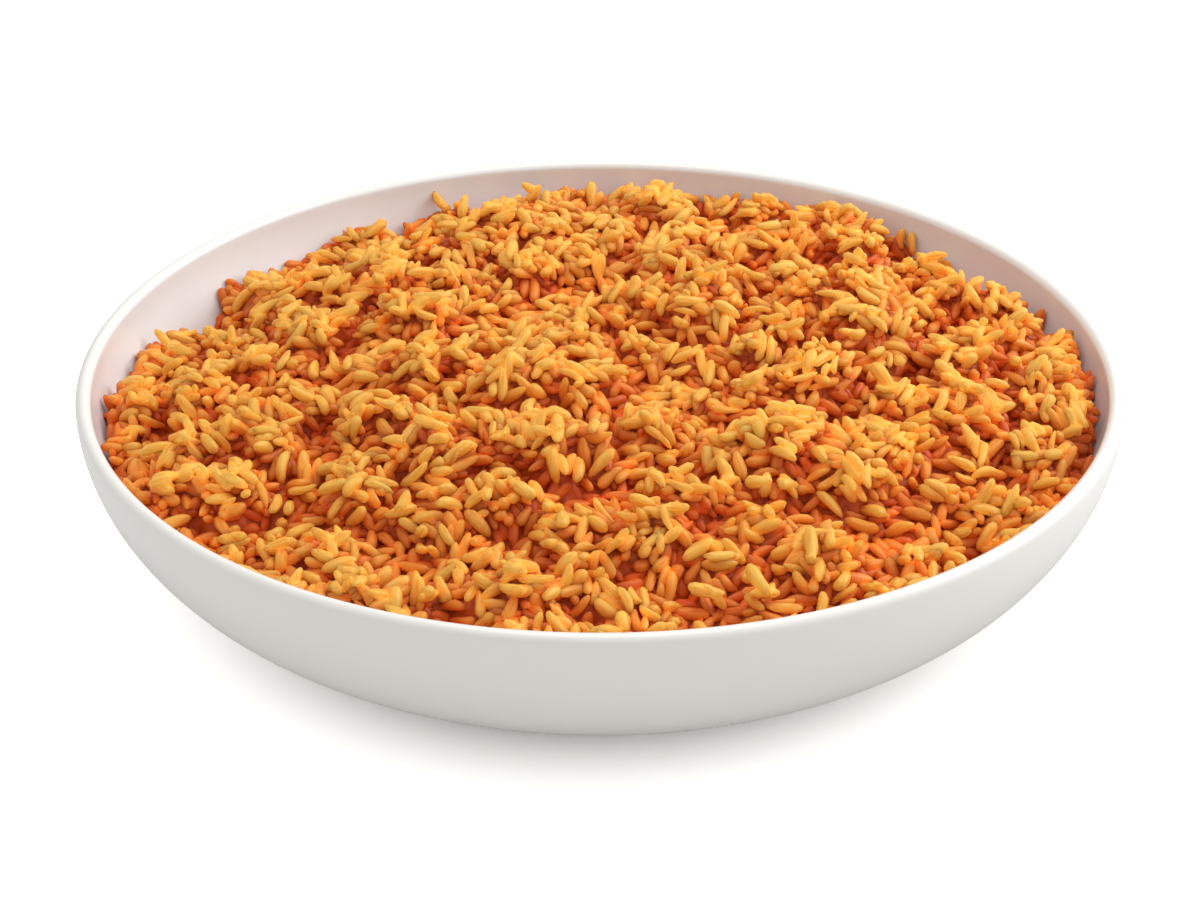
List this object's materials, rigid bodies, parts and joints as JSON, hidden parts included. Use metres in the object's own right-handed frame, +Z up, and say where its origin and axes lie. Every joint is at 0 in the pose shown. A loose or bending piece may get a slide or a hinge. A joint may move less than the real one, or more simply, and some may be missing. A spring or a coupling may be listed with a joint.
{
  "type": "bowl of jollof rice",
  "caption": "Wide, shallow white serving bowl heaped with orange jollof rice: a low, lumpy dome of cooked grains that meets the inside of the wall below the lip",
  "frame": {"origin": "centre of the bowl's foot, on the surface it stands on", "axes": "+Z up along the bowl's axis; -Y is the side nearest the viewer of the picture, +X is that viewer's right"},
  "size_m": [0.305, 0.305, 0.0757],
  "materials": {
    "white_glaze": "glossy white glaze",
    "jollof_rice": "moist, oily cooked grains"
  },
  "bodies": {
    "root": {"bowl": "white_glaze", "rice": "jollof_rice"}
  },
  "joints": []
}
